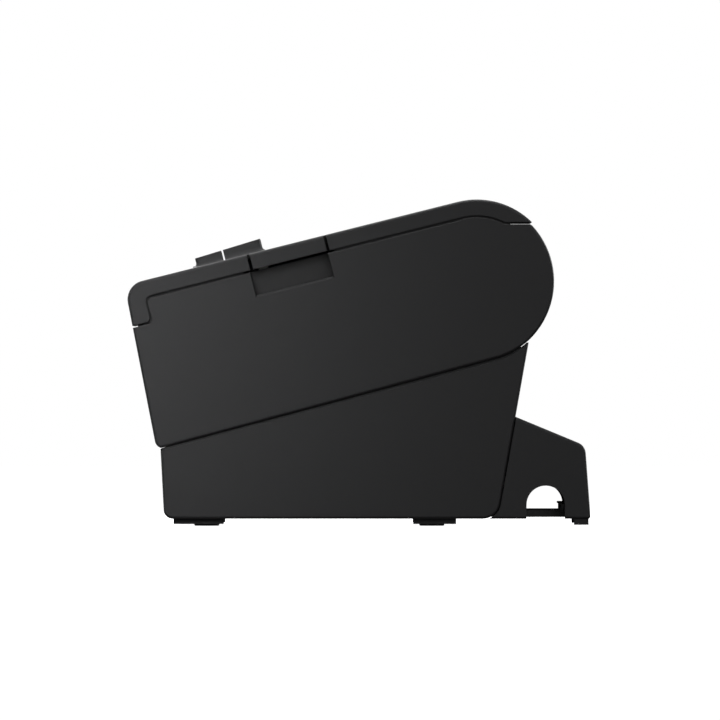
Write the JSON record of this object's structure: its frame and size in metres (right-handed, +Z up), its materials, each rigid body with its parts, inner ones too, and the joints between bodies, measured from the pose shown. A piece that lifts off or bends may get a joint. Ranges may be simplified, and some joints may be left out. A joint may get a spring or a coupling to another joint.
{
  "type": "receipt printer",
  "caption": "Desktop thermal receipt printer with a sloping deck, hinged roll cover, release lever, sliding cutter cover and rear connector cover.",
  "frame": {"origin": "on the table under the middle of the printer's length and width", "axes": "+Z up, -Y towards the front with the power switch, +X towards the side with the release lever"},
  "size_m": [0.145, 0.2107, 0.1486],
  "materials": {
    "case_plastic": "fine spark-eroded grain, satin",
    "inner_plastic": "moulded, matte",
    "button_plastic": "moulded, satin",
    "lens_plastic": "clear, slightly milky",
    "socket_plastic": "moulded, satin",
    "chip_plastic": "moulded, matte",
    "foot_rubber": "soft, matte",
    "platen_rubber": "ground, matte",
    "circuit_board": "solder mask over copper",
    "ribbon": "flat film",
    "ceramic": "glazed",
    "gear_plastic": "natural acetal, satin",
    "sheet_steel": "zinc plated sheet",
    "blade_steel": "ground",
    "shaft_steel": "turned",
    "spring_steel": "drawn wire",
    "screw_steel": "zinc plated",
    "motor_steel": "drawn can",
    "sink_aluminium": "extruded"
  },
  "bodies": {
    "base": {"upper_case": "case_plastic", "lower_case": "case_plastic", "rubber_feet": "foot_rubber", "dip_cover": "case_plastic", "case_screws": "screw_steel", "control_panel": "case_plastic", "led_lenses": "lens_plastic", "panel_board": "circuit_board", "hinge_pins": "shaft_steel", "lever_spring": "spring_steel", "mech_frame": "sheet_steel", "frame_screws": "screw_steel", "paper_guide": "sheet_steel", "paper_end_sensor": "inner_plastic", "head_springs": "spring_steel", "head_cable": "ribbon", "feed_motor": "motor_steel", "cutter_frame": "sheet_steel", "cutter_motor": "motor_steel", "chassis": "inner_plastic", "near_end_sensor": "inner_plastic", "main_board": "circuit_board", "board_parts": "chip_plastic", "buzzer": "inner_plastic", "usb_socket": "sheet_steel", "lan_socket": "sheet_steel", "drawer_socket": "socket_plastic", "power_inlet": "socket_plastic", "interface_plate": "sheet_steel", "interface_screws": "screw_steel", "switch_body": "inner_plastic"},
    "roll_cover": {"roll_cover": "case_plastic", "platen_holder": "inner_plastic", "hinge_arms": "inner_plastic", "fixed_blade": "blade_steel", "platen_bearings": "gear_plastic"},
    "platen": {"platen_shaft": "shaft_steel", "platen_rubber": "platen_rubber", "platen_gear": "gear_plastic"},
    "idler": {"idler_gear": "gear_plastic"},
    "feed_pinion": {"motor_pinion": "gear_plastic"},
    "cutter_cover": {"cutter_cover": "case_plastic"},
    "cutter_blade": {"cutter_blade": "blade_steel"},
    "cutter_gear": {"cutter_gear": "gear_plastic"},
    "cutter_pinion": {"cutter_pinion": "gear_plastic"},
    "release_lever": {"release_lever": "case_plastic", "lever_shaft": "shaft_steel", "latch_hook": "sheet_steel"},
    "print_head": {"heat_sink": "sink_aluminium", "print_head": "ceramic"},
    "feed_button": {"feed_button": "button_plastic"},
    "power_rocker": {"power_rocker": "inner_plastic"},
    "near_end_lever": {"near_end_lever": "inner_plastic"},
    "connector_cover": {"connector_cover": "case_plastic"}
  },
  "joints": [
    {"name": "roll_cover_hinge", "type": "hinge", "parent": "base", "child": "roll_cover", "pos_m": [0, 0.077, 0.118], "axis": [-1, 0, 0], "range_deg": [0, 70]},
    {"name": "release_lever_pivot", "type": "hinge", "parent": "base", "child": "release_lever", "pos_m": [0.06, -0.0442, 0.12014], "axis": [1, 0, 0], "range_deg": [0, 10], "stiffness_Nm_per_rad": 0.05, "springref_deg": -28.65},
    {"name": "print_head_pivot", "type": "hinge", "parent": "base", "child": "print_head", "pos_m": [0, -0.05819, 0.0887], "axis": [1, 0, 0], "range_deg": [0, 2], "stiffness_Nm_per_rad": 0.2, "springref_deg": -17.19},
    {"name": "cutter_cover_slide", "type": "slide", "parent": "base", "child": "cutter_cover", "axis": [0, -0.9701, -0.2428], "range_m": [0, 0.012]},
    {"name": "feed_button_press", "type": "slide", "parent": "base", "child": "feed_button", "axis": [0, 0.2428, -0.9701], "range_m": [0, 0.0008], "stiffness_N_per_m": 150, "springref_m": -0.002},
    {"name": "power_rocker_pivot", "type": "hinge", "parent": "base", "child": "power_rocker", "pos_m": [-0.045, -0.08486, 0.019], "axis": [1, 0, 0], "range_deg": [0, 14]},
    {"name": "near_end_pivot", "type": "hinge", "parent": "base", "child": "near_end_lever", "pos_m": [-0.0482, 0.022, 0.077], "axis": [0, 0, 1], "range_deg": [0, 10], "stiffness_Nm_per_rad": 0.002, "springref_deg": -17.19},
    {"name": "connector_cover_slide", "type": "slide", "parent": "base", "child": "connector_cover", "axis": [0, 1, 0], "range_m": [0, 0.045]},
    {"name": "platen_spin", "type": "hinge", "parent": "roll_cover", "child": "platen", "pos_m": [0, -0.05009, 0.10001], "axis": [1, 0, 0], "continuous": true},
    {"name": "idler_spin", "type": "hinge", "parent": "base", "child": "idler", "pos_m": [-0.0515, -0.05614, 0.08306], "axis": [1, 0, 0], "continuous": true},
    {"name": "feed_pinion_spin", "type": "hinge", "parent": "base", "child": "feed_pinion", "pos_m": [-0.0515, -0.07292, 0.08216], "axis": [1, 0, 0], "continuous": true},
    {"name": "cutter_gear_turn", "type": "hinge", "parent": "base", "child": "cutter_gear", "pos_m": [0.03, -0.0822, 0.10228], "axis": [0, -0.2428, 0.9701], "range_deg": [0, 64.46]},
    {"name": "cutter_blade_slide", "type": "slide", "parent": "base", "child": "cutter_blade", "axis": [0, 0.9701, 0.2428], "range_m": [0, 0.009]},
    {"name": "cutter_pinion_turn", "type": "hinge", "parent": "base", "child": "cutter_pinion", "pos_m": [0.0188, -0.0822, 0.10228], "axis": [0, -0.2428, 0.9701], "range_deg": [-162, 0]}
  ],
  "couplings": [
    {"joint": "idler_spin", "follows": "platen_spin", "ratio": -0.5},
    {"joint": "feed_pinion_spin", "follows": "platen_spin", "ratio": 1.3333},
    {"joint": "cutter_gear_turn", "follows": "cutter_blade_slide", "rad_per_m": 125},
    {"joint": "cutter_pinion_turn", "follows": "cutter_blade_slide", "rad_per_m": -312.5}
  ]
}
